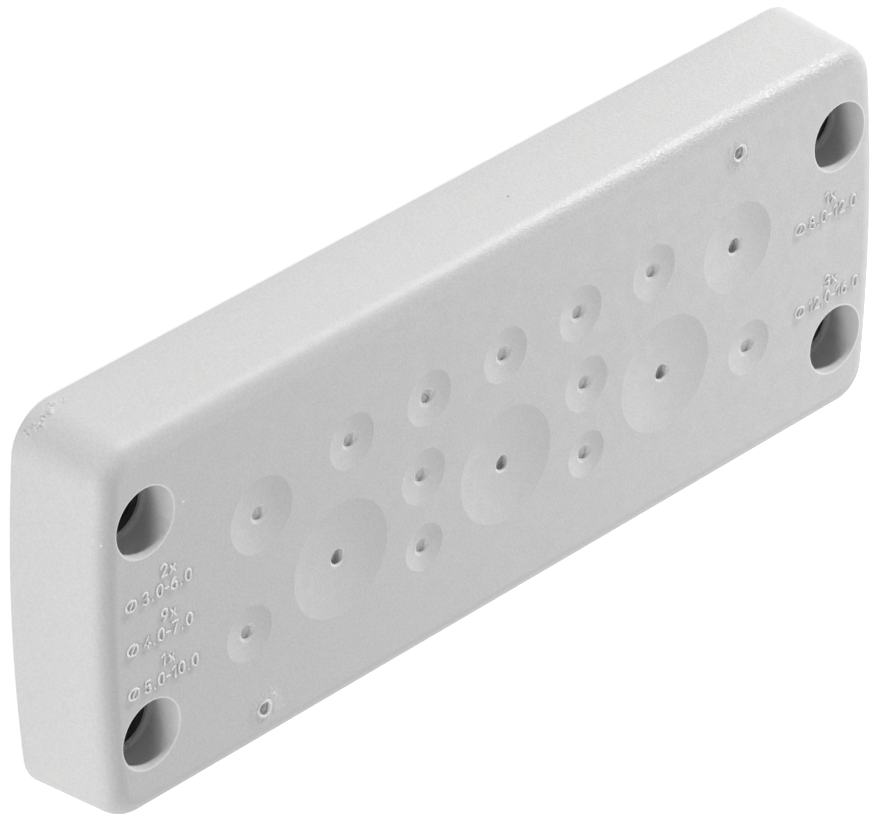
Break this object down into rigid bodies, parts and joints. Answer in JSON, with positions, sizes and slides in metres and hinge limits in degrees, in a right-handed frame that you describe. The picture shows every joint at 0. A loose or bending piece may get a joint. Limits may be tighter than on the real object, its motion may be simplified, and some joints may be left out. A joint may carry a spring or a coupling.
{
  "type": "cable entry plate",
  "caption": "Soft grey cable entry plate with dished membranes that cables pierce, moulded round a rigid black frame, with screw wells at its corners for a panel cut-out.",
  "frame": {"origin": "middle of the mounting face at the back", "axes": "+X along the length to the right end, +Y to the upper long side, +Z out of the front face"},
  "size_m": [0.1488, 0.0578, 0.0152],
  "materials": {
    "elastomer": "light grey moulded elastomer, fine satin",
    "rigid_frame": "black moulded plastic, matt"
  },
  "bodies": {
    "root": {"sealing_body": "elastomer", "support_frame": "rigid_frame"}
  },
  "joints": []
}
